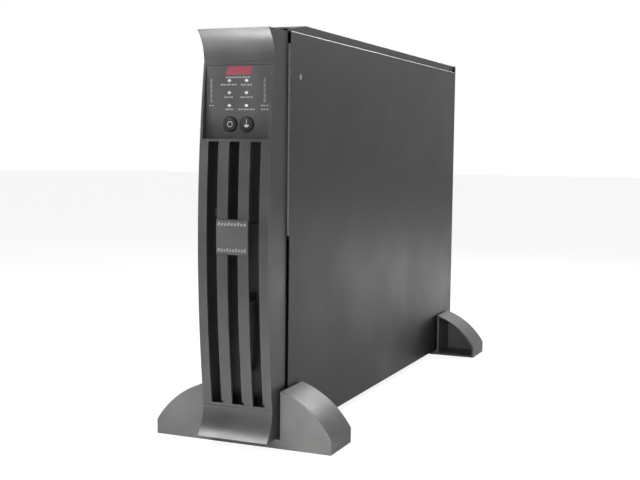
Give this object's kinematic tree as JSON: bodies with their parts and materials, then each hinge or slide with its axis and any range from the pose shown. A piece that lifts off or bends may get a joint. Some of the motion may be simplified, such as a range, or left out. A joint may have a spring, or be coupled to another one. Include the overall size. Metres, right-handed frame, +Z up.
{
  "type": "uninterruptible power supply",
  "caption": "Tall narrow tower power supply with a bowed vented bezel, a flat display, a sliding battery module, rear fans and outlets, on splayed feet.",
  "frame": {"origin": "centre of the bounding box at floor level, under the middle of the unit", "axes": "+X to the right seen from the front, +Y towards the rear panel, +Z up; the bezel faces -Y"},
  "size_m": [0.2038, 0.6672, 0.439],
  "materials": {
    "aluminium": "extruded",
    "badge": "satin",
    "battery_case": "moulded case",
    "bezel_plastic": "moulded, finely grained",
    "black_plastic": "moulded",
    "button_plastic": "satin",
    "circuit_board": "solder mask",
    "copper_winding": "enamelled copper",
    "core_steel": "laminated steel",
    "foot_plastic": "moulded, finely grained",
    "light_guide": "clear moulded",
    "panel_plastic": "smooth satin label",
    "plated_steel": "zinc plated",
    "powder_coat": "satin powder coat with a fine orange-peel grain",
    "red_plastic": "moulded",
    "ribbon": "flat ribbon"
  },
  "bodies": {
    "chassis": {"accessory_slot_cover": "powder_coat", "battery_bay_wall": "plated_steel", "battery_lead": "black_plastic", "battery_socket": "red_plastic", "board_rail_lower": "plated_steel", "board_rail_upper": "plated_steel", "breaker_1": "black_plastic", "breaker_2": "black_plastic", "bulk_capacitor_1": "battery_case", "bulk_capacitor_2": "battery_case", "chassis_base": "powder_coat", "cover_screw": "plated_steel", "display_board": "circuit_board", "display_panel": "panel_plastic", "display_ribbon": "ribbon", "external_battery_port": "black_plastic", "fan_1_frame": "black_plastic", "fan_1_guard": "plated_steel", "fan_2_frame": "black_plastic", "fan_2_guard": "plated_steel", "filter_inductor": "copper_winding", "front_bulkhead": "powder_coat", "front_foot_left": "foot_plastic", "front_foot_right": "foot_plastic", "ground_screw": "plated_steel", "heatsink": "aluminium", "interface_board": "plated_steel", "light_guide": "light_guide", "main_board": "circuit_board", "outlet_strip_1": "black_plastic", "outlet_strip_2": "black_plastic", "power_inlet": "black_plastic", "rear_foot_left": "foot_plastic", "rear_foot_right": "foot_plastic", "rear_panel": "powder_coat", "side_cover": "powder_coat", "transformer_bracket": "plated_steel", "transformer_coil": "copper_winding", "transformer_core": "core_steel"},
    "battery_module": {"battery_tray": "plated_steel", "battery_door": "powder_coat", "battery_plug": "red_plastic", "door_thumbscrew_1": "plated_steel", "door_thumbscrew_2": "plated_steel", "battery_1": "battery_case", "battery_2": "battery_case", "battery_3": "battery_case", "battery_4": "battery_case", "battery_5": "battery_case", "battery_6": "battery_case", "battery_7": "battery_case", "battery_8": "battery_case"},
    "bezel": {"front_bezel": "bezel_plastic", "bezel_badge": "badge"},
    "on_button": {"on_button": "button_plastic"},
    "off_button": {"off_button": "button_plastic"},
    "fan_1": {"fan_1_rotor": "black_plastic"},
    "fan_2": {"fan_2_rotor": "black_plastic"},
    "breaker_1_reset": {"breaker_1_button": "red_plastic"},
    "breaker_2_reset": {"breaker_2_button": "red_plastic"}
  },
  "joints": [
    {"name": "battery_slide", "type": "slide", "parent": "chassis", "child": "battery_module", "axis": [0, -1, 0], "range_m": [0, 0.4]},
    {"name": "bezel_pull", "type": "slide", "parent": "chassis", "child": "bezel", "axis": [0, -1, 0], "range_m": [0, 0.44]},
    {"name": "on_button_press", "type": "slide", "parent": "chassis", "child": "on_button", "axis": [0, 1, 0], "range_m": [0, 0.0015], "stiffness_N_per_m": 400},
    {"name": "off_button_press", "type": "slide", "parent": "chassis", "child": "off_button", "axis": [0, 1, 0], "range_m": [0, 0.0015], "stiffness_N_per_m": 400},
    {"name": "fan_1_spin", "type": "hinge", "parent": "chassis", "child": "fan_1", "pos_m": [0, 0.3165, 0.3865], "axis": [0, 1, 0], "continuous": true},
    {"name": "fan_2_spin", "type": "hinge", "parent": "chassis", "child": "fan_2", "pos_m": [0, 0.3165, 0.3035], "axis": [0, 1, 0], "continuous": true},
    {"name": "breaker_1_pop", "type": "slide", "parent": "chassis", "child": "breaker_1_reset", "axis": [0, 1, 0], "range_m": [0, 0.0045]},
    {"name": "breaker_2_pop", "type": "slide", "parent": "chassis", "child": "breaker_2_reset", "axis": [0, 1, 0], "range_m": [0, 0.0045]}
  ],
  "couplings": [
    {"joint": "bezel_pull", "follows": "battery_slide", "ratio": 1.1}
  ]
}
